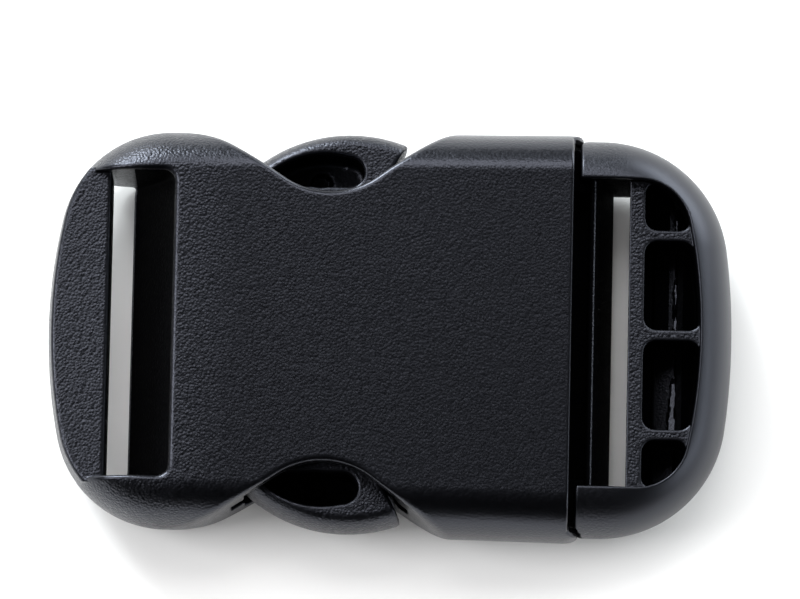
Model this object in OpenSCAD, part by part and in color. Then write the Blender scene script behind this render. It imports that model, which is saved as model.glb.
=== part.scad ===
// Side release buckle for 25 mm webbing, fastened: a hollow socket and the plug that clicks into it.
// Millimetres. X runs along the buckle (webbing bar of the socket at -X, ring of the plug at +X),
// Y runs across it and Z is up. The origin is the middle of the footprint, on the surface below.

/* [Buckle] */
// Thickness of the socket
socket_h = 10.4; // [9.8:0.1:11]
// Width of the webbing that the slots take
webbing_w = 25; // [24:0.5:26]
// Length over both pieces
buckle_l = 56.9; // [56.5:0.1:57.3]
// How far in from the side the rounded edges of the socket reach
edge_run = 3.7; // [3.5:0.1:3.7]

/* [Socket] */
// Width at the open end
mouth_w = 34.2; // [33.8:0.1:34.6]
// Width over the two cheeks beside the webbing slot
cheek_w = 33.3; // [33:0.1:33.6]
// Radius of the two cheeks, seen from above
cheek_r = 9.35; // [9:0.05:9.6]
// X of the widest place of the cheeks
cheek_x = -18.35; // [-18.6:0.05:-18]
// X of the open end
mouth_x = 15; // [14.8:0.1:15.2]
// Thickness of the top and bottom shells
shell_t = 1.9; // [1.6:0.1:2]
// Thickness of the side walls at the open end
side_t = 2.1; // [1.8:0.1:2.4]

/* [Webbing slot of the socket] */
// X of the inner face of the webbing bar
bar_inner_x = -23.4; // [-23.6:0.1:-23.2]
// How far the faces of the bar lie inside the faces of the socket
bar_step = 2.2; // [1:0.1:2.4]
// Width of the slot at the top face
slot_run = 5.4; // [5.2:0.1:5.6]
// Clear width at the underside, below the sloping bulkhead
slot_clear = 1.65; // [1.5:0.05:2]

/* [Side windows] */
// X of the narrowest place of the waist
waist_x = -5.3; // [-5.6:0.1:-5]
// Half the width at the waist
waist_half = 11.3; // [11:0.1:11.6]
// Radius at the bottom of the arch beside each window
waist_r = 6.7; // [6:0.1:7]
// Slope of the arch towards the open end, in degrees
flank_slope = 36; // [34:1:38]

/* [Plug] */
// Thickness of the ring
ring_h = 9.9; // [9.4:0.1:10]
// Width over the ring
ring_w = 33.3; // [33:0.1:33.5]
// X of the square ends of the ring's rails
rail_end_x = 15.6; // [15.5:0.1:15.8]
// How far in from the side the rounded edges of the ring reach
ring_run = 4; // [4:0.1:4.2]
// Width of the ring at its far end
ring_bar = 2.75; // [2.5:0.05:3]
// Running clearance between the plug and the inside of the socket
run_gap = 0.3; // [0.25:0.05:0.4]
// Radius of the outside of the arm heads
head_r = 12.6; // [12.4:0.1:12.8]
// X of the widest place of the arm heads
head_x = -3.4; // [-3.6:0.1:-3.2]
// Half the width over the arm heads
head_half = 16.75; // [16.6:0.05:16.8]

/* [Hidden] */
$fn = 64;
socket_colour = "#23242b";
plug_colour = "#2b2c33";
mid_z = socket_h / 2;
half_l = buckle_l / 2;
arc_steps = 12;
edge_levels = 6;
past = 1;
wide = 25;

// Outline of the socket
cheek_y = cheek_w / 2 - cheek_r;
bar_end_r = 48;
mouth_half = mouth_w / 2;
blind_x = 24;
flare = (mouth_half - cheek_w / 2) / (mouth_x - cheek_x);
socket_blind = [-blind_x, mouth_half + flare * (blind_x - mouth_x)];
blind_r = 5;
waist_y = waist_half + waist_r;
cheek_trim = 0.03;

// Webbing slot of the socket
slot_half = (webbing_w + 0.6) / 2;
slot_right_x = bar_inner_x + slot_run;
slot_corner_r = 1.1;
bulkhead_r = 16;
bulkhead_run_on = 4;
slot_room = 0.1;
bar_draft = 0.6;

// Inside of the socket
cavity_h = socket_h - 2 * shell_t;
cavity_end_x = -16.2;
chamber_r = head_r + 0.4;
chamber_half = 11;
throat_half = mouth_half - side_t;
throat_x = 3.7;
catch_half = 12.9;
catch_x = 0.13;
catch_lean = 30;
catch_back_x = 1.6;
notch_h = 2.5;
notch_x = [-12.9, 1.75];
notch_inner = 12.5;
lip_r = 4.5;
lip_reach = 0.9;
lip_half = 16;

// Ring of the plug
ring_z = mid_z - ring_h / 2;
ring_r = 10.5;
ring_corner = [17.55, ring_w / 2 - ring_r];
ring_end_r = 57;
ring_blind = [8, ring_w / 2];
eye_half = (webbing_w + 0.75) / 2;
eye_r = 4.3;
eye_end_x = half_l - ring_bar;
eye_end_r = 45;
into_rail = 0.3;

// Web and pockets inside the ring
web_x = 20;
web_z = 0.6;
web_top = 8.7;
web_bar = 1.15;
pocket_floor = 3.4;
rib_w = 0.9;
rib_y = 8.35;

// Blade of the plug, inside the socket
blade_z = shell_t + run_gap;
blade_h = cavity_h - 2 * run_gap;
blade_top = blade_z + blade_h;
neck_x = 10.5;
collar_x = 12;
collar_half = 15.6;
collar_h = 5;
collar_room_x = 11.4;
arm_y = [10.5, 12.4];
head_y = head_half - head_r;
head_edge = 1.3;
head_tip_x = -13.2;
head_inner = 10.1;
shoulder_gap = 0.6;
hole_c = [-5.5, 7.2];
hole_r = 7.6;
hole_inner = 11.95;
hole_end_x = -3.7;
hole_floor = 3.4;
dimple_c = [-6, 12.85];
dimple_r = 0.9;
dimple_floor = 2.7;
tongue_half = 3.2;
tongue_x = -11;
tongue_slot = [-7.5, 7];

// Keel of the plug as [x, z]: neck, groove behind the open end of the socket, ridge, slope and foot
keel = [
    [neck_x, blade_z], [neck_x, blade_top], [14.6, blade_top], [14.9, 5.4], [16.3, 5.4], [16.5, 8.6],
    [17.1, 8.6], [18.55, 2], [18.55, web_z], [rail_end_x, web_z], [rail_end_x, blade_z]
];

// Points along an arc about c, from angle a to angle b, without so many at each end
function arc(c, r, a, b, skip = 0) = [
    for (i = [skip:arc_steps - skip])
        let (t = a + (b - a) * i / arc_steps)
        [c[0] + r * cos(t), c[1] + r * sin(t)]
];

// Outline of a block with a rounded end at +X, anticlockwise and inset by d: two corner arcs that run
// smoothly into a shallow end arc, and two small corners at the other end, which is cut away later
function block_outline(corner, r, end_x, end_r, blind, d) =
    let (turn = asin(corner[1] / (end_r - r)))
    concat(
        arc([corner[0], -corner[1]], r - d, -90, -turn),
        arc([end_x - end_r, 0], end_r - d, -turn, turn, 1),
        arc(corner, r - d, turn, 90),
        arc([blind[0], blind[1] - blind_r], blind_r - d, 90, 180),
        arc([blind[0], blind_r - blind[1]], blind_r - d, 180, 270)
    );

function socket_outline(d) = block_outline([-cheek_x, cheek_y], cheek_r, half_l, bar_end_r, socket_blind, d);

function ring_outline(d) = block_outline(ring_corner, ring_r, half_l, ring_end_r, ring_blind, d);

// Inset and height of each level of a block of thickness h with rounded edges that reach in by run
function edge_insets(run) = [for (k = [-edge_levels:edge_levels]) run * (1 - cos(90 * k / edge_levels))];

function edge_heights(h) = [for (k = [-edge_levels:edge_levels]) h / 2 * (1 + sin(90 * k / edge_levels))];

// Block from outlines of like point count, one for each height
module pillow(outlines, heights) {
    levels = len(heights);
    count = len(outlines[0]);
    points = [for (k = [0:levels - 1]) for (p = outlines[k]) [p[0], p[1], heights[k]]];
    sides = [
        for (k = [0:levels - 2])
            for (i = [0:count - 1])
                let (a = k * count + i, b = k * count + (i + 1) % count)
                [a, a + count, b + count, b]
    ];
    top = (levels - 1) * count;
    polyhedron(
        points = points,
        faces = concat([[for (i = [0:count - 1]) i]], sides, [[for (i = [count - 1:-1:0]) top + i]])
    );
}

// Puts a copy of its children on the other side of the buckle as well
module both_sides() {
    children();
    mirror([0, 1, 0]) children();
}

// Rounded block that the socket is cut from
module socket_block() {
    mirror([1, 0, 0]) pillow([for (d = edge_insets(edge_run)) socket_outline(d)], edge_heights(socket_h));
}

// Upright prism that cuts one arch of the waist: it follows the cheek, runs straight down a flank that
// touches cheek and arch, round the arch and up the other flank
module waist_cut() {
    cheek = [cheek_x, cheek_y];
    waist = [waist_x, waist_y];
    step = waist - cheek;
    cheek_cut = cheek_r - cheek_trim;
    lean = atan2(step[1], step[0]) + acos((cheek_cut + waist_r) / norm(step));
    flank = 2 * wide * [cos(flank_slope), sin(flank_slope)];
    arch = arc(waist, waist_r, lean - 180, flank_slope - 90);
    last = arch[arc_steps];
    translate([0, 0, -past])
        linear_extrude(socket_h + 2 * past)
            polygon(concat(arc(cheek, cheek_cut, 90, lean), arch, [last + flank, [cheek_x, last[1] + flank[1]]]));
}

// Webbing bar: thick right to its outer edge, with a slight draft above and below
module webbing_bar() {
    intersection() {
        mirror([1, 0, 0])
            pillow(
                [for (d = [bar_draft, 0, bar_draft]) socket_outline(d)],
                [bar_step, mid_z, socket_h - bar_step]
            );
        translate([-half_l - past, -slot_half, 0])
            cube([half_l + past + bar_inner_x, 2 * slot_half, socket_h]);
    }
}

// Webbing slot with its sloping, slightly hollow bulkhead. The arc of the bulkhead runs on beyond both
// faces of the socket and makes the straight edge of the slot, the upright cutter its round corners
module webbing_slot() {
    cut = past + slot_run + slot_room;
    foot = [bar_inner_x + slot_clear, 0];
    head = [slot_right_x, socket_h];
    chord = head - foot;
    reach = sqrt(bulkhead_r * bulkhead_r - norm(chord) * norm(chord) / 4);
    centre = (head + foot) / 2 + reach * [-chord[1], chord[0]] / norm(chord);
    start = atan2(foot[1] - centre[1], foot[0] - centre[0]) - bulkhead_run_on;
    end = atan2(head[1] - centre[1], head[0] - centre[0]) + bulkhead_run_on;
    intersection() {
        translate([0, slot_half + past, 0])
            rotate([90, 0, 0])
                linear_extrude(2 * (slot_half + past))
                    polygon(concat(
                        [[bar_inner_x, socket_h + past], [bar_inner_x, -past]],
                        arc(centre, bulkhead_r, start, end)
                    ));
        translate([bar_inner_x - past, 0, -past])
            linear_extrude(socket_h + 2 * past) {
                translate([0, -slot_half]) square([cut - slot_corner_r, 2 * slot_half]);
                translate([0, slot_corner_r - slot_half]) square([cut, 2 * (slot_half - slot_corner_r)]);
                for (s = [-1, 1])
                    translate([cut - slot_corner_r, s * (slot_half - slot_corner_r)])
                        circle(slot_corner_r);
            }
    }
}

// Inside of the socket: a chamber round the arm heads, the catches, the wider throat at the open end and
// the room for the plug's collar
module cavity() {
    lean = (wide - catch_half) * tan(catch_lean);
    translate([0, 0, shell_t])
        linear_extrude(cavity_h) {
            intersection() {
                union() {
                    both_sides() translate([head_x, head_y]) circle(chamber_r);
                    translate([cavity_end_x, -chamber_half]) square([wide, 2 * chamber_half]);
                }
                polygon([
                    [cavity_end_x, -wide], [catch_x + lean, -wide], [catch_x, -catch_half],
                    [catch_x, catch_half], [catch_x + lean, wide], [cavity_end_x, wide]
                ]);
            }
            polygon([
                [catch_x - past, -catch_half], [catch_back_x, -catch_half], [throat_x, -throat_half],
                [throat_x, throat_half], [catch_back_x, catch_half], [catch_x - past, catch_half]
            ]);
            translate([throat_x, -throat_half]) square([mouth_x - throat_x + past, 2 * throat_half]);
        }
    translate([collar_room_x, -collar_half - run_gap, mid_z - collar_h / 2 - run_gap])
        cube([mouth_x + past - collar_room_x, 2 * (collar_half + run_gap), collar_h + 2 * run_gap]);
}

// Small notches at both ends of each side window
module window_notches() {
    both_sides()
        translate([notch_x[0], notch_inner, mid_z - notch_h / 2])
            cube([notch_x[1] - notch_x[0], wide, notch_h]);
}

// Round tabs with which the side walls overlap the ends of the plug's rails, grown by d
module lips(d) {
    both_sides()
        translate([mouth_x + lip_reach - lip_r, wide, mid_z])
            rotate([90, 0, 0])
                cylinder(r = lip_r + d, h = wide - lip_half + d);
}

module socket_body() {
    color(socket_colour)
        difference() {
            union() {
                difference() {
                    intersection() {
                        socket_block();
                        union() {
                            translate([-half_l - past, -wide, -past])
                                cube([half_l + past + mouth_x, 2 * wide, socket_h + 2 * past]);
                            lips(0);
                        }
                    }
                    translate([-half_l - past, -slot_half, -past])
                        cube([half_l + past + bar_inner_x, 2 * slot_half, socket_h + 2 * past]);
                }
                webbing_bar();
            }
            both_sides() waist_cut();
            webbing_slot();
            cavity();
            window_notches();
        }
}

// Opening inside the ring, seen from above
module ring_eye() {
    turn = asin((eye_half - eye_r) / (eye_end_r - eye_r));
    corner = [
        eye_end_x - eye_end_r + (eye_end_r - eye_r) * cos(turn),
        eye_half - eye_r
    ];
    polygon(concat(
        [[rail_end_x - past, -eye_half]],
        arc([corner[0], -corner[1]], eye_r, -90, -turn),
        arc([eye_end_x - eye_end_r, 0], eye_end_r, -turn, turn),
        arc(corner, eye_r, turn, 90),
        [[rail_end_x - past, eye_half]]
    ));
}

// Block from which the web inside the ring is left standing: a bar that the webbing folds round and three
// ribs, with four pockets between the ribs
module web_block() {
    difference() {
        translate([web_x, -wide, web_z]) cube([wide, 2 * wide, web_top - web_z]);
        difference() {
            translate([web_x + web_bar, -wide - past, pocket_floor]) cube([wide, 2 * (wide + past), socket_h]);
            for (y = [-rib_y, 0, rib_y])
                translate([web_x, y - rib_w / 2, 0]) cube([2 * wide, rib_w, 2 * socket_h]);
        }
    }
}

// Ring with its two rails and the web
module ring() {
    difference() {
        translate([0, 0, ring_z])
            pillow([for (d = edge_insets(ring_run)) ring_outline(d)], edge_heights(ring_h));
        translate([0, -wide, -past]) cube([rail_end_x, 2 * wide, socket_h + 2 * past]);
        difference() {
            translate([0, 0, -past]) linear_extrude(socket_h + 2 * past) ring_eye();
            web_block();
        }
    }
}

// Stretch of the keel between two places along X, as wide as twice half
module keel_part(x, half) {
    translate([0, half, 0])
        rotate([90, 0, 0])
            linear_extrude(2 * half)
                intersection() {
                    polygon(keel);
                    translate([x[0], 0]) square([x[1] - x[0], socket_h]);
                }
}

// Bar across the ring: its ridge stands behind the open end of the socket and its far side slopes down
module crossbar() {
    keel_part([rail_end_x, wide], eye_half + into_rail);
}

// Neck between the arms and the crossbar
module neck() {
    keel_part([neck_x, rail_end_x], arm_y[1]);
}

// Two halves of the collar that fills the open end of the socket and carries the ends of the rails
module collar() {
    both_sides()
        translate([collar_x, arm_y[1] - into_rail, mid_z - collar_h / 2])
            cube([rail_end_x + past - collar_x, collar_half - arm_y[1] + into_rail, collar_h]);
}

// One springy arm with its rounded head, shoulder and pocket
module arm() {
    shoulder_x = catch_x - shoulder_gap;
    lean = (wide - catch_half) * tan(catch_lean);
    translate([0, 0, blade_z])
        difference() {
            union() {
                translate([shoulder_x - past, arm_y[0], 0])
                    cube([neck_x + 2 * past - shoulder_x, arm_y[1] - arm_y[0], blade_h]);
                intersection() {
                    linear_extrude(blade_h)
                        polygon([
                            [head_tip_x, head_inner], [shoulder_x, head_inner], [shoulder_x, catch_half],
                            [shoulder_x + lean, wide], [head_tip_x, wide]
                        ]);
                    translate([head_x, head_y, 0])
                        rotate_extrude()
                            polygon(concat(
                                [[0, 0]],
                                [
                                    for (d = [-90:15:90])
                                        [head_r - head_edge * (1 - cos(d)), blade_h / 2 * (1 + sin(d))]
                                ],
                                [[0, blade_h]]
                            ));
                }
            }
            head_pocket();
        }
}

// Deep pocket in an arm head, with a round dimple in its floor
module head_pocket() {
    reach = hole_end_x - hole_c[0];
    outer = hole_c[1] + sqrt(hole_r * hole_r - reach * reach);
    translate([0, 0, hole_floor - blade_z])
        linear_extrude(socket_h) {
            intersection() {
                translate(hole_c) circle(hole_r);
                translate([head_tip_x, hole_inner]) square([hole_end_x - head_tip_x, wide]);
            }
            translate([hole_end_x, (outer + hole_inner) / 2]) circle((outer - hole_inner) / 2);
        }
    translate([dimple_c[0], dimple_c[1], dimple_floor - blade_z]) cylinder(r = dimple_r, h = socket_h);
}

// Guide tongue in the middle of the plug
module tongue() {
    translate([0, 0, blade_z])
        linear_extrude(blade_h)
            difference() {
                union() {
                    translate([tongue_x + tongue_half, -tongue_half])
                        square([neck_x + past - tongue_x - tongue_half, 2 * tongue_half]);
                    translate([tongue_x + tongue_half, 0]) circle(tongue_half);
                }
                translate([tongue_slot[0], -tongue_half / 2])
                    square([tongue_slot[1] - tongue_slot[0], tongue_half]);
            }
}

module plug_body() {
    color(plug_colour)
        difference() {
            union() {
                ring();
                crossbar();
                neck();
                collar();
                both_sides() arm();
                tongue();
            }
            lips(run_gap);
        }
}

socket_body();
plug_body();
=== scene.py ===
import functools
import math

import bpy
import numpy as np
from mathutils import Matrix, Vector


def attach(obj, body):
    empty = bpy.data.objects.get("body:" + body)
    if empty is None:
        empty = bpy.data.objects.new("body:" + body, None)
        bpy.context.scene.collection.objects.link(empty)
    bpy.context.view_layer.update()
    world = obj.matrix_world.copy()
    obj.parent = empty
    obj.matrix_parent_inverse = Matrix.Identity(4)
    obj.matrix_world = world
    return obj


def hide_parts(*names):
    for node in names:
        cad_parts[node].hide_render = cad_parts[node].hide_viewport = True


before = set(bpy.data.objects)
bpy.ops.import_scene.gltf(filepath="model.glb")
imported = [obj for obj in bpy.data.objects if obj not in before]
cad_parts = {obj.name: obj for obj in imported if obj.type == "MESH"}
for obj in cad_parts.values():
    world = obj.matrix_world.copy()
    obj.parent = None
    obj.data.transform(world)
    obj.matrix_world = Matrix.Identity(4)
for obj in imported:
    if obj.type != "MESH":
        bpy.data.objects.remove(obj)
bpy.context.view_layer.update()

# Socket: a hollow injection moulding of black acetal. One end holds the fixed bar that the webbing is
# sewn round, the other is open for the plug, and the waist leaves a window at each side for an arm.
# Shapes here are depths in millimetres: negative inside the plastic, zero on its surface.

MIDDLE_Z = 5.2
END_X = 28.45
CHEEK = (18.35, 7.3)
CHEEK_R = 9.35
CHEEK_HALF = 16.65
MOUTH_X = 15
MOUTH_HALF = 17.1
SIDE_LEAN = math.atan((MOUTH_HALF - CHEEK_HALF) / (MOUTH_X + CHEEK[0]))
SOCKET_EDGE = (3.7, 5.2)


def inside_all(*depths):
    """Depth of what all the solids share, with sharp edges."""
    return functools.reduce(np.maximum, depths)


def inside_any(*depths):
    """Depth of all the solids taken together, with sharp corners."""
    return functools.reduce(np.minimum, depths)


def both(a, b, round_by):
    """Depth of what two solids share, with the edge between them rounded by about round_by."""
    return np.maximum(a, b) + np.maximum(round_by - np.abs(a - b), 0) ** 2 / (4 * round_by)


def either(a, b, fillet):
    """Depth of two solids in one, with a fillet in the corner between them."""
    return -both(-a, -b, fillet)


def end_outline(x, side, corner, corner_r, end_x, lean=0.0):
    """Depth inside an outline seen from above: a shallow end arc at +X, corner arcs and long sides."""
    back = corner[0] - end_x
    # the end arc has the radius that lets it run into the corner arcs without a kink
    end_r = (back * back + corner[1] ** 2 - corner_r**2) / (-2 * (back + corner_r))
    turn = math.asin(corner[1] / (end_r - corner_r))
    dx, dy = x - corner[0], side - corner[1]
    straight = dx * math.sin(lean) + dy * math.cos(lean) - corner_r
    end = np.hypot(x - end_x + end_r, side) - end_r
    past_end = dy * math.cos(turn) > dx * math.sin(turn)
    past_side = dx * math.cos(lean) > dy * math.sin(lean)
    return np.where(past_end & past_side, np.hypot(dx, dy) - corner_r, np.maximum(end, straight))


CORE = 0.3


def pillow(plan, z, run, half):
    """Depth inside a block whose edges are rounded as an ellipse, run wide and half high."""
    across = np.maximum(0, 1 + plan / run)
    up = np.abs(z - MIDDLE_Z) / half
    reach = np.hypot(across, up)
    steep = np.hypot(across / run, up / half)
    # inside the core both are held, so that nothing is divided by zero
    return (reach - 1) * np.maximum(reach, CORE) / np.maximum(steep, CORE / half)


def socket_plan(x, side):
    """Depth inside the socket's outline seen from above; its sides spread towards the mouth."""
    return end_outline(-x, side, CHEEK, CHEEK_R, END_X, SIDE_LEAN)


LIP_X = 11.4
LIP_R = 4.5
LIP_SIDE = 16.0
LIP_TAPER = 0.45


def lip_depth(x, side, z, gap=0.0):
    """The round tab at the mouth that laps over the end of the plug's rail, with a gap round it."""
    return np.maximum(np.hypot(x - LIP_X, z - MIDDLE_Z) - LIP_R - gap, LIP_SIDE - gap - side)


ARCH = (-5.3, 18.0)
ARCH_R = 6.7
ARCH_FLANK = math.radians(36)
FAR = 9.0


def waist_arch(x, side):
    """Depth into the room that an arch of the waist cuts out: a wedge with a round bottom."""
    dx, dy = x - ARCH[0], side - ARCH[1]
    apart = np.hypot(dx, dy)
    step = (ARCH[0] + CHEEK[0], ARCH[1] - CHEEK[1])
    left = math.atan2(step[1], step[0]) + math.acos((CHEEK_R + ARCH_R) / math.hypot(*step))
    flanks = []
    for across, along in (
        ((-math.cos(left), -math.sin(left)), (-math.sin(left), math.cos(left))),
        ((math.sin(ARCH_FLANK), -math.cos(ARCH_FLANK)), (math.cos(ARCH_FLANK), math.sin(ARCH_FLANK))),
    ):
        off = dx * across[0] + dy * across[1]
        flanks.append((off, np.where(dx * along[0] + dy * along[1] > 0, np.abs(off), apart)))
    between = (flanks[0][0] < 0) & (flanks[1][0] < 0)
    beside = np.minimum(flanks[0][1], flanks[1][1])
    wedge = np.where(between, -beside, beside) - ARCH_R
    # up to where the flank touches the cheek, the cut follows the cheek
    cx, cy = x + CHEEK[0], side - CHEEK[1]
    by_cheek = (cx > 0) & (cy * math.cos(left) > cx * math.sin(left))
    room = np.where(by_cheek, CHEEK_R - np.hypot(cx, cy), wedge)
    return np.where(cx < 0, FAR, room)


SLOT_X = (-23.4, -18.0)
SLOT_HALF = 12.8
SLOT_CORNER_R = 1.1
BULKHEAD = (-34.0, 10.585)
BULKHEAD_R = 16.0


def webbing_slot(x, side, z):
    """The slot behind the bar, with round corners and a bulkhead that slopes down towards the bar."""
    dx, dy = x - SLOT_X[1] + SLOT_CORNER_R, side - SLOT_HALF + SLOT_CORNER_R
    corner = np.hypot(np.maximum(dx, 0), np.maximum(dy, 0))
    slot = corner + np.minimum(np.maximum(dx, dy), 0) - SLOT_CORNER_R
    bulkhead = np.hypot(x - BULKHEAD[0], z - BULKHEAD[1]) - BULKHEAD_R
    return both(slot, bulkhead, round_by=0.3)


BAR_HALF = 3.0
BAR_LEAN = 0.11
BAR_FALL = 0.06
BAR_ROOT = 0.4


def webbing_bar(x, side, z):
    """The fixed bar: lower than the cheeks, with a top that falls a little towards its outer side."""
    high = np.abs(z - MIDDLE_Z)
    fall = np.where(z > MIDDLE_Z, BAR_FALL * (x - SLOT_X[0]), 0)
    bar = both(socket_plan(x, side) + BAR_LEAN * high, high - BAR_HALF - fall, round_by=0.4)
    bar = both(bar, x - SLOT_X[0], round_by=0.4)
    return np.maximum(bar, side - SLOT_HALF - BAR_ROOT)


CHAMBER = (-3.4, 4.15)
CHAMBER_R = 13.0
MIDDLE_ROOM_X = (-16.2, 8.8)
MIDDLE_ROOM_HALF = 11
THROAT_HALF = (12.9, 15.0)
THROAT_END_X = 16
FLARE_X = 1.6
CATCH_X = 0.13
CATCH_SLANT = math.radians(30)
ROOM_HALF_Z = 3.3
COLLAR_ROOM = (11.4, 15.9, 2.8)


def catch_face(x, side, face_x):
    """Depth behind the slanting face on which a catch of the socket meets the head of an arm."""
    return (x - face_x) * math.cos(CATCH_SLANT) - (side - THROAT_HALF[0]) * math.sin(CATCH_SLANT)


def socket_hollow(x, side, high):
    """Room for the plug: a round chamber that ends at the catches, a flared throat and the mouth."""
    middle = inside_all(MIDDLE_ROOM_X[0] - x, x - MIDDLE_ROOM_X[1], side - MIDDLE_ROOM_HALF)
    chamber = np.hypot(x - CHAMBER[0], side - CHAMBER[1]) - CHAMBER_R
    chamber_end = np.where(side > THROAT_HALF[0], catch_face(x, side, CATCH_X), x - THROAT_END_X)
    throat = np.maximum(-x, side - np.clip(THROAT_HALF[0] + (x - FLARE_X), *THROAT_HALF))
    room = np.minimum(np.maximum(np.minimum(chamber, middle), chamber_end), throat)
    room = both(room, high - ROOM_HALF_Z, round_by=0.3)
    mouth = inside_all(COLLAR_ROOM[0] - x, side - COLLAR_ROOM[1], high - COLLAR_ROOM[2])
    return np.minimum(room, mouth)


ARCH_EDGE = 0.5
ARCH_EDGE_START = 0.002
ARCH_EDGE_RUN = 5
NOTCH_X = (-12.9, 1.75)
NOTCH_SIDE = 12.5
NOTCH_HALF_Z = 1.25


def socket_depth(x, y, z):
    """The whole socket: a rounded block with its lips, waist, slot, bar, hollow and side notches."""
    side = np.abs(y)
    high = np.abs(z - MIDDLE_Z)
    # the lips get thinner towards their tips
    lip = np.maximum(lip_depth(x, side, z), side - MOUTH_HALF + LIP_TAPER * (x - MOUTH_X))
    body = pillow(socket_plan(x, side), z, *SOCKET_EDGE)
    body = both(body, np.minimum(x - MOUTH_X, lip), round_by=0.25)
    # the edge of the waist starts sharp at the cheek and soon gets rounder
    rounder = np.clip((x + CHEEK[0]) / ARCH_EDGE_RUN, ARCH_EDGE_START, 1)
    body = both(body, -waist_arch(x, side), round_by=ARCH_EDGE * rounder)
    body = both(body, -webbing_slot(x, side, z), round_by=0.5)
    body = either(body, webbing_bar(x, side, z), fillet=0.12)
    body = both(body, -socket_hollow(x, side, high), round_by=0.2)
    notch = inside_all(NOTCH_X[0] - x, x - NOTCH_X[1], NOTCH_SIDE - side, high - NOTCH_HALF_Z)
    return both(body, -notch, round_by=0.15)


GLOSSY_SKIN_DEPTH = 0.45
BAR_FLANK_DEPTH = 0.7
SLOT_END = (-21.7, 12.6)
LIP_INSIDE = (15.1, 16.5)


def socket_unshaded(x, y, z, facing_up):
    """Where the socket keeps its full gloss; the walls of the slot and of the hollow get painted shade."""
    side = np.abs(y)
    plan = socket_plan(x, side)
    form = np.maximum(pillow(plan, z, *SOCKET_EDGE), np.minimum(x - MOUTH_X, lip_depth(x, side, z)))
    form = np.maximum(form, -waist_arch(x, side))
    level = np.abs(facing_up) > 0.5
    bar = (x < SLOT_X[0] - 0.1) & (level | (plan > -BAR_FLANK_DEPTH))
    slot_end = (x < SLOT_END[0]) & (side > SLOT_END[1])
    # the lips' faces towards the plug get painted shade, which keeps the gap between them and the plug dark
    behind_lip = (x > LIP_INSIDE[0]) & (side < LIP_INSIDE[1])
    return ((form > -GLOSSY_SKIN_DEPTH) & ~behind_lip) | bar | slot_end


GRAIN_X = (-19, -13, 10)
GRAIN = (1, 0.47, 0.35)


def socket_grained(x, y, z, flat):
    """Deep grain on the bar and the cheeks, and a finer one along the shells."""
    return flat * np.interp(x, GRAIN_X, GRAIN)


def grid_lines(*runs):
    """Grid lines along one axis, from runs of (start, end, step)."""
    coarser = 1
    lines = []
    for start, end, step in runs:
        count = max(1, round((end - start) / step / coarser))
        lines.extend(np.linspace(start, end, count, endpoint=False))
    return np.array(lines + [runs[-1][1]])


def mirrored(half):
    """Grid lines on both sides of the middle, from those on one side."""
    return np.concatenate([-half[::-1], half[1:]])


def cuts(field, lines, axis):
    """Where the surface cuts the grid's lines along one axis: the cell before each cut, the point, and
    whether the plastic lies before it."""
    near = [slice(None)] * 3
    far = [slice(None)] * 3
    near[axis] = slice(None, -1)
    far[axis] = slice(1, None)
    before, after = field[tuple(near)], field[tuple(far)]
    at = np.argwhere((before < 0) != (after < 0))
    a, b = before[tuple(at.T)], after[tuple(at.T)]
    point = np.stack([lines[m][at[:, m]] for m in range(3)], 1)
    line = lines[axis]
    point[:, axis] += a / (a - b) * (line[at[:, axis] + 1] - line[at[:, axis]])
    return at, point, a < 0


def net(field, lines):
    """A corner in each grid cell that the surface crosses, at the mean of the cuts on the cell's edges,
    and a four-sided face round each cut. Also tells where each corner's cell starts and its size."""
    cells = [n - 1 for n in field.shape]
    total = np.zeros((math.prod(cells), 3))
    count = np.zeros(len(total))
    faces = []
    for axis in range(3):
        at, point, plastic_before = cuts(field, lines, axis)
        u, v = (axis + 1) % 3, (axis + 2) % 3
        around = []
        for du, dv in ((-1, -1), (0, -1), (0, 0), (-1, 0)):
            cell = at.copy()
            cell[:, u] += du
            cell[:, v] += dv
            cell = np.ravel_multi_index(tuple(cell.T), cells)
            around.append(cell)
            count += np.bincount(cell, minlength=len(total))
            for m in range(3):
                total[:, m] += np.bincount(cell, point[:, m], minlength=len(total))
        around = np.stack(around, 1)
        faces.append(np.where(plastic_before[:, None], around, around[:, ::-1]))
    used = count > 0
    corners = total[used] / count[used][:, None]
    faces = (np.cumsum(used) - 1)[np.concatenate(faces)]
    at = np.unravel_index(np.flatnonzero(used), cells)
    low = np.stack([line[i] for line, i in zip(lines, at)], 1)
    size = np.stack([line[i + 1] for line, i in zip(lines, at)], 1) - low
    return corners, faces, low, size


def slope(depth, points, reach):
    """Which way the depth rises at each point, measured over reach millimetres."""
    way = np.empty_like(points)
    for axis in range(3):
        ahead, behind = points.copy(), points.copy()
        ahead[:, axis] += reach
        behind[:, axis] -= reach
        way[:, axis] = (depth(*ahead.T) - depth(*behind.T)) / (2 * reach)
    return way


PULLS = 4
PULL_REACH = 0.004
LONGEST_PULL = 0.08
LEAST_SLOPE = 0.2
CELL_MARGIN = 0.02


def settled(depth, corners, low, size):
    """The corners pulled onto the surface, each inside its own cell, so that no two can meet."""
    for _ in range(PULLS):
        way = slope(depth, corners, PULL_REACH)
        pull = depth(*corners.T) / np.maximum((way * way).sum(1), LEAST_SLOPE)
        corners = corners - np.clip(pull, -LONGEST_PULL, LONGEST_PULL)[:, None] * way
        corners = np.clip(corners, low + CELL_MARGIN * size, low + (1 - CELL_MARGIN) * size)
    return corners


SHORTEST_EDGE = 0.03


def bend(corners, faces, facing):
    """How sharply the surface turns at each corner, in radians a millimetre."""
    sharpest = np.zeros(len(corners))
    for first, second in ((0, 1), (1, 2), (2, 3), (3, 0)):
        a, b = faces[:, first], faces[:, second]
        length = np.linalg.norm(corners[a] - corners[b], axis=1)
        turn = np.linalg.norm(facing[a] - facing[b], axis=1) / np.maximum(length, SHORTEST_EDGE)
        np.maximum.at(sharpest, a, turn)
        np.maximum.at(sharpest, b, turn)
    return sharpest


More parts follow.
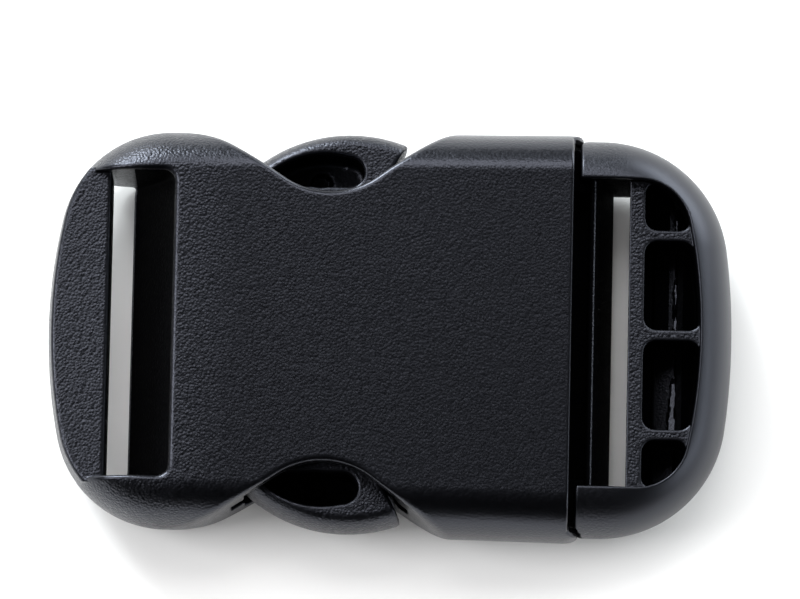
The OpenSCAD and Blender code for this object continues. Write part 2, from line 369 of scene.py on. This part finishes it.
SHADE_REACH = 0.02
SHARP_BEND = 2.5
RIM_GRAIN = 0.3


def moulding(name, depth, outside, grained, lines):
    """Makes one moulded piece from the depth of its solid, shaded by the solid's own slope. Faces that
    outside doesn't name get the second material, which paints shade on them, and grained tells how much
    of the mould's grain each corner has."""
    xs, ys, zs = lines
    field = depth(xs[:, None, None], ys[None, :, None], zs[None, None, :]).astype(np.float32)
    corners, faces, low, size = net(field, lines)
    corners = settled(depth, corners, low, size)
    facing = slope(depth, corners, SHADE_REACH)
    facing /= np.maximum(np.linalg.norm(facing, axis=1), 1e-6)[:, None]
    mesh = bpy.data.meshes.new(name)
    mesh.from_pydata(corners / 1000, [], faces.tolist())
    mesh.polygons.foreach_set("use_smooth", np.ones(len(faces), bool))
    # corners that outside doesn't name get the painted shade of the near-matt second material
    painted_shade_corners = ~outside(*corners.T, facing[:, 2])
    mesh.polygons.foreach_set("material_index", painted_shade_corners[faces].all(1).astype(np.int32))
    mesh.normals_split_custom_set_from_vertices(facing)
    # the mould's grain runs out on rims
    flat = np.clip(SHARP_BEND - bend(corners, faces, facing), RIM_GRAIN, 1)
    grain = grained(*corners.T, flat).astype(np.float32)
    mesh.attributes.new("grain", "FLOAT", "POINT").data.foreach_set("value", grain)
    mesh.update()
    piece = bpy.data.objects.new(name, mesh)
    bpy.context.scene.collection.objects.link(piece)
    return piece


socket = moulding(
    "socket",
    socket_depth,
    socket_unshaded,
    socket_grained,
    [
        grid_lines(
            (-28.8, -28.0, 0.12), (-28.0, -26.5, 0.16), (-26.5, -23.9, 0.26), (-23.9, -22.9, 0.1),
            (-22.9, -18.6, 0.22), (-18.6, -17.5, 0.11), (-17.5, 5.5, 0.2), (5.5, 13.5, 0.5),
            (13.5, 14.6, 0.22), (14.6, 15.25, 0.09), (15.25, 16.3, 0.13),
        ),
        mirrored(grid_lines(
            (0, 10.7, 0.62), (10.7, 12.3, 0.16), (12.3, 13.3, 0.11), (13.3, 16.4, 0.24), (16.4, 17.5, 0.15),
        )),
        grid_lines(
            (-0.2, 0.6, 0.1), (0.6, 1.6, 0.2), (1.6, 2.2, 0.12), (2.2, 8.2, 0.27), (8.2, 8.8, 0.11),
            (8.8, 9.7, 0.2), (9.7, 10.6, 0.085),
        ),
    ],
)
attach(socket, "root")
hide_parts("socket_body")

BLACK = (0.0006, 0.0006, 0.0008, 1)
COOL_SHINE = (0.78, 0.82, 1, 1)
BUMPS_PER_METRE = 4600
BUMP_HEIGHT = 0.00004
UNEVENNESS = 0.14


def moulded_plastic(name, gloss, smooth, grained):
    """Black plastic from a spark-eroded mould: a grain of fine bumps, some a little rougher than others.
    Its roughness is smooth where it has no grain and at least grained where it has all of it."""
    material = bpy.data.materials.new(name)
    material.use_nodes = True
    nodes, links = material.node_tree.nodes, material.node_tree.links
    shader = nodes["Principled BSDF"]
    shader.inputs["Base Color"].default_value = BLACK
    shader.inputs["Specular IOR Level"].default_value = gloss
    shader.inputs["Specular Tint"].default_value = COOL_SHINE
    place = nodes.new("ShaderNodeTexCoord")
    bumps = nodes.new("ShaderNodeTexVoronoi")
    bumps.inputs["Scale"].default_value = BUMPS_PER_METRE
    grain = nodes.new("ShaderNodeAttribute")
    grain.attribute_name = "grain"
    bump = nodes.new("ShaderNodeBump")
    bump.invert = True
    bump.inputs["Distance"].default_value = BUMP_HEIGHT
    links.new(place.outputs["Object"], bumps.inputs["Vector"])
    links.new(grain.outputs["Fac"], bump.inputs["Strength"])
    links.new(bumps.outputs["Distance"], bump.inputs["Height"])
    links.new(bump.outputs["Normal"], shader.inputs["Normal"])
    chance = nodes.new("ShaderNodeSeparateColor")
    uneven = nodes.new("ShaderNodeMapRange")
    uneven.inputs["To Min"].default_value = grained - smooth
    uneven.inputs["To Max"].default_value = grained - smooth + UNEVENNESS
    rough = nodes.new("ShaderNodeMath")
    rough.operation = "MULTIPLY_ADD"
    rough.inputs[2].default_value = smooth
    links.new(bumps.outputs["Color"], chance.inputs["Color"])
    links.new(chance.outputs["Red"], uneven.inputs["Value"])
    links.new(uneven.outputs["Result"], rough.inputs[0])
    links.new(grain.outputs["Fac"], rough.inputs[1])
    links.new(rough.outputs["Value"], shader.inputs["Roughness"])
    return material


def painted_shade_inside(name):
    """The same plastic with almost no reflection, which paints shade into slots, pockets and hollows."""
    return moulded_plastic(name, gloss=0.012, smooth=0.6, grained=0.6)


socket.data.materials.append(moulded_plastic("black_acetal_socket", gloss=0.5, smooth=0.28, grained=0.28))
# the socket's second material: painted shade for its slot, its hollow and the lips' inner faces
socket.data.materials.append(painted_shade_inside("painted_shade_inside_socket"))

# Plug: one moulding of the same black acetal. Its ring stays outside the socket and carries the
# adjustable end of the webbing round a ribbed web; two springy arms with rounded heads reach inside.

RING_CORNER = (17.55, 6.15)
RING_R = 10.5
RING_EDGE = (4.0, 4.95)
RAIL_X = 15.6
LIP_GAP = 0.3
EYE_HALF = 12.875
EYE_R = 4.3
EYE_CORNER = (20.49, EYE_HALF - EYE_R)
EYE_END_X = 25.7
UNDER_Z = 0.6


def ring_block(x, side, z):
    """Depth inside the rounded block that the ring is cut from."""
    return pillow(end_outline(x, side, RING_CORNER, RING_R, END_X), z, *RING_EDGE)


def ring_eye(x, side):
    """Depth inside the opening of the ring, seen from above."""
    return end_outline(x, side, EYE_CORNER, EYE_R, EYE_END_X)


def ring_depth(x, side, z):
    """The ring with its two rails, which leave room for the round lips of the socket."""
    ring = both(ring_block(x, side, z), -ring_eye(x, side), round_by=0.22)
    ring = both(ring, RAIL_X - x, round_by=0.22)
    return np.maximum(ring, -lip_depth(x, side, z, LIP_GAP))


FLOOR_Z = 3.4
WEDGE_X = (22, 23.8)
WEDGE_Z = (4.0, 4.3)
WEDGE_RISE = 0.35
STEEP = 4
BURR_X = (23.6, 23.85)
BURR_RAGGED = ((0.04, 4.1, 0), (0.03, 9.7, 1))
BURR_MIDDLE = 5
BURR_THICKER = (0.1, 0.07)
BURR_CREST = (5.4, 0.2)
BURR_BREAK = (4.5, 1.6, 5.4)
RIB_Y = 8.35


def pocket_floor(x, y, z):
    """The floor of the web's four pockets, with a low wedge and a rough burr that is highest beside one
    rib, falls slowly and breaks off before the next."""
    onto, off = x - WEDGE_X[0], x - WEDGE_X[1]
    wedge = np.maximum(z - WEDGE_Z[0] - WEDGE_RISE * onto - STEEP * np.minimum(onto, 0), off)
    behind_burr = z - WEDGE_Z[1] + WEDGE_RISE * off + STEEP * np.maximum(BURR_X[0] - x, 0)
    ragged = sum(height * np.sin(pace * y + start) for height, pace, start in BURR_RAGGED)
    along = np.mod(y, RIB_Y)
    from_middle = BURR_MIDDLE - along
    # the burr is thicker in the two pockets at the front
    thicker = np.where(y < 0, BURR_THICKER[0] + BURR_THICKER[1] * from_middle, 0)
    crest = BURR_CREST[0] + BURR_CREST[1] * from_middle
    break_off = BURR_BREAK[0] + BURR_BREAK[1] * (BURR_BREAK[2] - along)
    burr = inside_all(x - BURR_X[1], BURR_X[0] - thicker + ragged - x, z - crest, z - break_off)
    return inside_any(z - FLOOR_Z, wedge, behind_burr, burr)


WEB_X = 20.0
WEB_BAR = 1.02
WEB_FRONT = 0.3
WEB_LEAN = 0.045
WEB_Z = 8.7
RIB_HALF = 0.45


def web_depth(x, y, z):
    """The web that the webbing folds round: a bar, three ribs with wide fillets and the pockets."""
    side = np.abs(y)
    ribs = np.minimum(np.abs(side - RIB_Y), side) - RIB_HALF
    web = either(x - WEB_X - WEB_BAR, ribs, fillet=1.2)
    web = either(web, -ring_eye(x, side), fillet=1.1)
    web = both(web, z - WEB_Z, round_by=0.2)
    web = either(web, pocket_floor(x, y, z), fillet=0.3)
    front = WEB_X - WEB_FRONT + WEB_LEAN * (WEB_Z - z) - x
    web = both(web, np.maximum(front, UNDER_Z - z), round_by=0.12)
    # it stays just inside the ring's block, so that the outer side of the ring keeps its shape
    return np.maximum(web, ring_block(x, side, z) + 0.1)


RIDGE = (16.4, 8.65)
CROSSBAR_FOOT_Z = 5.4
CROSSBAR_END_X = 18.55
SLOPE_TOP = (16.95, 8.6)
SLOPE_FACING = (6.6, 1.6)


def crossbar(x, side, z):
    """The crossbar with its rounded ridge and the slope that leads the webbing down."""
    ridge = both(RIDGE[0] - x, z - RIDGE[1], round_by=0.5)
    foot = np.maximum(RAIL_X - x, z - CROSSBAR_FOOT_Z)
    fall = (x - SLOPE_TOP[0]) * SLOPE_FACING[0] + (z - SLOPE_TOP[1]) * SLOPE_FACING[1]
    bar = both(np.minimum(ridge, foot), fall / math.hypot(*SLOPE_FACING), round_by=0.5)
    bar = both(bar, x - CROSSBAR_END_X, round_by=0.15)
    return inside_all(bar, UNDER_Z - z, side - EYE_HALF - 0.2)


NECK_X = (10.5, 14.75, 16.3)
NECK_Z = (2.2, 8.2)
NECK_HALF = 12.4


def neck(x, side, z):
    """The neck that carries the arms and the tongue, with a step down to the crossbar's foot."""
    top = np.where(x > NECK_X[1], CROSSBAR_FOOT_Z, NECK_Z[1])
    return inside_all(NECK_X[0] - x, x - NECK_X[2], NECK_Z[0] - z, z - top, side - NECK_HALF)


COLLAR_X = (12, 16.6)
COLLAR_SIDE = 13.8
COLLAR_HALF = (1.8, 2.5)


def collar(x, side, high):
    """The blocks at both sides of the neck that centre the plug in the socket's mouth."""
    beside = np.abs(side - COLLAR_SIDE) - COLLAR_HALF[0]
    return inside_all(COLLAR_X[0] - x, x - COLLAR_X[1], beside, high - COLLAR_HALF[1])


HEAD_R = 12.6
HEAD_EDGE = (1.3, 3.0)
HEAD_INSIDE = (-13.2, 10.1)
SHOULDER_X = -0.47
POCKET = (-5.5, 7.2)
POCKET_R = 7.6
POCKET_SIDE = 11.95
POCKET_END_X = -3.7
POCKET_Z = 3.4
DIMPLE = (-6, 12.85)
DIMPLE_R = 0.9
DIMPLE_Z = 2.7


def head_block(x, side, z):
    """Depth inside the round block that the head of an arm is cut from; it fits the socket's chamber."""
    return pillow(np.hypot(x - CHAMBER[0], side - CHAMBER[1]) - HEAD_R, z, *HEAD_EDGE)


def head_pocket(x, side, z):
    """The deep pocket in the head of an arm: part of a disc, with a round end towards the ring."""
    disc = np.hypot(x - POCKET[0], side - POCKET[1]) - POCKET_R
    outer = POCKET[1] + math.sqrt(POCKET_R**2 - (POCKET_END_X - POCKET[0]) ** 2)
    round_end = np.hypot(x - POCKET_END_X, side - (outer + POCKET_SIDE) / 2) - (outer - POCKET_SIDE) / 2
    pocket = np.minimum(inside_all(disc, POCKET_SIDE - side, x - POCKET_END_X), round_end)
    return both(pocket, POCKET_Z - z, round_by=0.5)


def arm_head(x, side, z):
    """The head of an arm, with a slanting face for the catch, a pocket and a dimple in its floor."""
    slant = catch_face(x, side, SHOULDER_X)
    head = both(head_block(x, side, z), np.where(side > THROAT_HALF[0], slant, x - SHOULDER_X), round_by=0.3)
    head = both(head, np.maximum(HEAD_INSIDE[0] - x, HEAD_INSIDE[1] - side), round_by=0.3)
    head = both(head, -head_pocket(x, side, z), round_by=0.25)
    dimple = np.maximum(np.hypot(x - DIMPLE[0], side - DIMPLE[1]) - DIMPLE_R, DIMPLE_Z - z)
    return both(head, -dimple, round_by=0.3)


ARM_X = (-1.4, 11.5)
ARM_SIDE = 11.45
ARM_HALF = (0.95, 3.0)


def arm_strip(x, side, high):
    """The thin part of an arm that bends when the head is pressed."""
    beside = np.abs(side - ARM_SIDE) - ARM_HALF[0]
    return inside_all(ARM_X[0] - x, x - ARM_X[1], beside, high - ARM_HALF[1])


TONGUE_TIP_X = -7.8
TONGUE_END_X = 11.5
TONGUE_HALF = (3.2, 3.0)
HOLE_X = -0.25
HOLE_HALF = (7.25, 1.6)


def guide_tongue(x, side, high):
    """The tongue that keeps the plug straight in the socket, with a round tip and a long hole."""
    outline = np.hypot(np.minimum(x - TONGUE_TIP_X, 0), side) - TONGUE_HALF[0]
    hole = np.maximum(np.abs(x - HOLE_X) - HOLE_HALF[0], side - HOLE_HALF[1])
    return inside_all(outline, x - TONGUE_END_X, high - TONGUE_HALF[1], -hole)


def plug_depth(x, y, z):
    """The whole plug: ring, web and crossbar outside the socket, and neck, arms and tongue inside it."""
    side = np.abs(y)
    high = np.abs(z - MIDDLE_Z)
    return inside_any(
        either(ring_depth(x, side, z), web_depth(x, y, z), fillet=0.1),
        crossbar(x, side, z),
        neck(x, side, z),
        collar(x, side, high),
        arm_head(x, side, z),
        arm_strip(x, side, high),
        guide_tongue(x, side, high),
    )


LEVEL = 0.75
RIM_Z = 8.3
DEEP_Z = 6.6
SHINY_FLOOR_X = (22, 23.3, 24.2)
BEHIND_RIDGE_X = (15, 16.8)


def plug_unshaded(x, y, z, facing_up):
    """Where the plug keeps its full gloss; the walls of the eye and most pocket floors get painted shade."""
    side = np.abs(y)
    ring = np.where(x > RAIL_X - 0.1, ring_block(x, side, z), FAR)
    shoulder = x - SHOULDER_X - math.tan(CATCH_SLANT) * np.maximum(side - THROAT_HALF[0], 0)
    head = np.maximum(head_block(x, side, z), shoulder)
    skin = np.minimum(np.abs(ring), np.abs(head)) < GLOSSY_SKIN_DEPTH
    # the floor of the arm pocket at the front gets painted shade; only the one at the back keeps some gloss
    back_pocket = (x < 0) & (y > 0) & (z < POCKET_Z + 0.2)
    # the faces just left of the crossbar's ridge get painted shade, which keeps the ridge's highlight thin
    behind_ridge = (x > BEHIND_RIDGE_X[0]) & (x < BEHIND_RIDGE_X[1]) & (side < THROAT_HALF[0])
    tops = (facing_up > LEVEL) & ((z > RIM_Z) | back_pocket) & ~behind_ridge
    # the web's pocket floors keep their gloss only round the burr, from further left in the front pockets;
    # elsewhere they get painted shade
    floors = (x > np.where(y < 0, SHINY_FLOOR_X[0], SHINY_FLOOR_X[1])) & (x < SHINY_FLOOR_X[2])
    floors = floors & (z > 2) & (z < DEEP_Z) & (facing_up > 0.1)
    rail_ends = (np.abs(x - RAIL_X) < 0.3) & (side > THROAT_HALF[0]) & (z > 8)
    return skin | tops | floors | rail_ends


RING_GRAIN = 0.55
ARM_GRAIN = 0.9
POCKET_GRAIN = 0.4
DEEP_GRAIN = 0.6
POLISH_X = 18.2
POLISH_RUN = 2.2
POLISH = 0.96
RIDGE_X = (16.2, 17.3)


def plug_grained(x, y, z, flat):
    """Grain on the arms, the crossbar and the web; the ring is polished from its shoulders on."""
    side = np.abs(y)
    ridge = (x > RIDGE_X[0]) & (x < RIDGE_X[1]) & (z > 8) & (side < EYE_HALF)
    web = (ring_eye(x, side) < 0.1) & (z < WEB_Z + 0.05)
    web_grain = flat * np.where(z < DEEP_Z, DEEP_GRAIN, 1.0)
    arm_grain = np.where(z < POCKET_Z + 0.2, POCKET_GRAIN, ARM_GRAIN)
    polished = np.clip((x - POLISH_X) / POLISH_RUN, 0, POLISH)
    skin_grain = flat * np.where(x > RAIL_X - 0.1, RING_GRAIN, arm_grain) * (1 - polished)
    return np.where(ridge, 1, np.where(web, web_grain, skin_grain))


plug = moulding(
    "plug",
    plug_depth,
    plug_unshaded,
    plug_grained,
    [
        grid_lines(
            (-13.6, -12.6, 0.2), (-12.6, -0.8, 0.3), (-0.8, 1.5, 0.26), (1.5, 14.4, 0.9),
            (14.4, 15.3, 0.2), (15.3, 16.2, 0.13), (16.2, 17.3, 0.1), (17.3, 19.8, 0.26),
            (19.8, 21.5, 0.1), (21.5, 23.3, 0.24), (23.3, 24.1, 0.1), (24.1, 24.7, 0.2),
            (24.7, 26.0, 0.1), (26.0, 27.6, 0.27), (27.6, 28.7, 0.16),
        ),
        mirrored(grid_lines(
            (0, 1.2, 0.13), (1.2, 7.2, 0.31), (7.2, 9.4, 0.12), (9.4, 12.5, 0.17), (12.5, 13.3, 0.11),
            (13.3, 16.0, 0.3), (16.0, 17.0, 0.18),
        )),
        grid_lines(
            (0.0, 1.0, 0.2), (1.0, 3.0, 0.5), (3.0, 5.6, 0.2), (5.6, 8.0, 0.48), (8.0, 8.9, 0.1),
            (8.9, 9.6, 0.18), (9.6, 10.4, 0.1),
        ),
    ],
)
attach(plug, "root")
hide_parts("plug_body")
plug.data.materials.append(moulded_plastic("black_acetal_plug", gloss=0.5, smooth=0.4, grained=0.3))
# the plug's second material: painted shade for the eye's walls and most pocket floors
plug.data.materials.append(painted_shade_inside("painted_shade_inside_plug"))

# Table: a white matt sheet, far wider than the view, with plain soft lights round it. The light straight
# above the sheet isn't mirrored in the plastic, so that the buckle's top stays dark.
TABLE_SIZE = 4
WHITE = (0.9, 0.9, 0.9, 1)

bpy.ops.mesh.primitive_plane_add(size=TABLE_SIZE, location=(0, 0, 0))
table = bpy.context.object
table.name = "table"
sheet = bpy.data.materials.new("white_sheet")
sheet.use_nodes = True
paper = sheet.node_tree.nodes["Principled BSDF"]
paper.inputs["Base Color"].default_value = WHITE
paper.inputs["Roughness"].default_value = 0.9
paper.inputs["Specular IOR Level"].default_value = 0.0
table.data.materials.append(sheet)


def softbox(name, turn, height, size, power, colour=(1, 1, 1)):
    """A plain soft light a metre away that faces the buckle; turn and height are in degrees."""
    light = bpy.data.lights.new(name, "AREA")
    light.shape = "RECTANGLE"
    light.size, light.size_y = size
    light.energy = power
    light.color = colour
    box = bpy.data.objects.new(name, light)
    turn, height = math.radians(turn), math.radians(height)
    place = Vector((math.cos(height) * math.cos(turn), math.cos(height) * math.sin(turn), math.sin(height)))
    box.location = place
    box.rotation_euler = (-place).to_track_quat("-Z", "Y").to_euler()
    bpy.context.scene.collection.objects.link(box)
    return box


COOL = (0.94, 0.99, 1)
WARM = (1, 0.97, 0.965)
ROOM_DARK = (0.004, 0.004, 0.004, 1)

softbox("back_right_light", turn=46, height=14, size=(0.95, 0.48), power=12, colour=COOL)
softbox("back_left_light", turn=120, height=21, size=(0.42, 0.42), power=17, colour=COOL)
softbox("high_back_light", turn=100, height=57, size=(0.8, 0.36), power=4.8)
softbox("left_light", turn=180, height=44, size=(0.45, 0.5), power=5.5)
softbox("right_light", turn=-15, height=20, size=(0.8, 0.4), power=4, colour=COOL)
fill = softbox("table_light", turn=0, height=89, size=(1.2, 1.2), power=5.5, colour=WARM)
fill.visible_glossy = False
world = bpy.data.worlds.new("studio")
world.use_nodes = True
world.node_tree.nodes["Background"].inputs["Color"].default_value = ROOM_DARK
bpy.context.scene.world = world
bpy.context.scene.view_settings.view_transform = "Standard"

# Camera: nearly overhead from the front side, far away with a long lens and turned a little, as in
# the photograph. Positions in the picture are in the photo's pixels.
TILT = math.radians(8.5)
ROLL = math.radians(1.25)
DISTANCE = 0.65
PIXELS_PER_METRE = 12000
PICTURE_WIDTH = 800
PICTURE_CENTRE = (400, 299.5)
BUCKLE_CENTRE = (390, 335.5)
SENSOR_WIDTH = 36

lens = bpy.data.cameras.new("camera")
camera = bpy.data.objects.new("camera", lens)
bpy.context.scene.collection.objects.link(camera)
bpy.context.scene.camera = camera
lens.sensor_width = SENSOR_WIDTH
lens.lens = PIXELS_PER_METRE * DISTANCE / PICTURE_WIDTH * SENSOR_WIDTH
lens.shift_x = (PICTURE_CENTRE[0] - BUCKLE_CENTRE[0]) / PICTURE_WIDTH
lens.shift_y = (BUCKLE_CENTRE[1] - PICTURE_CENTRE[1]) / PICTURE_WIDTH
lens.clip_end = 10
target = Vector((0, 0, MIDDLE_Z / 1000))
camera.location = target + DISTANCE * Vector((0, -math.sin(TILT), math.cos(TILT)))
aim = (target - camera.location).to_track_quat("-Z", "Y").to_matrix().to_4x4()
camera.rotation_euler = (aim @ Matrix.Rotation(ROLL, 4, "Z")).to_euler()
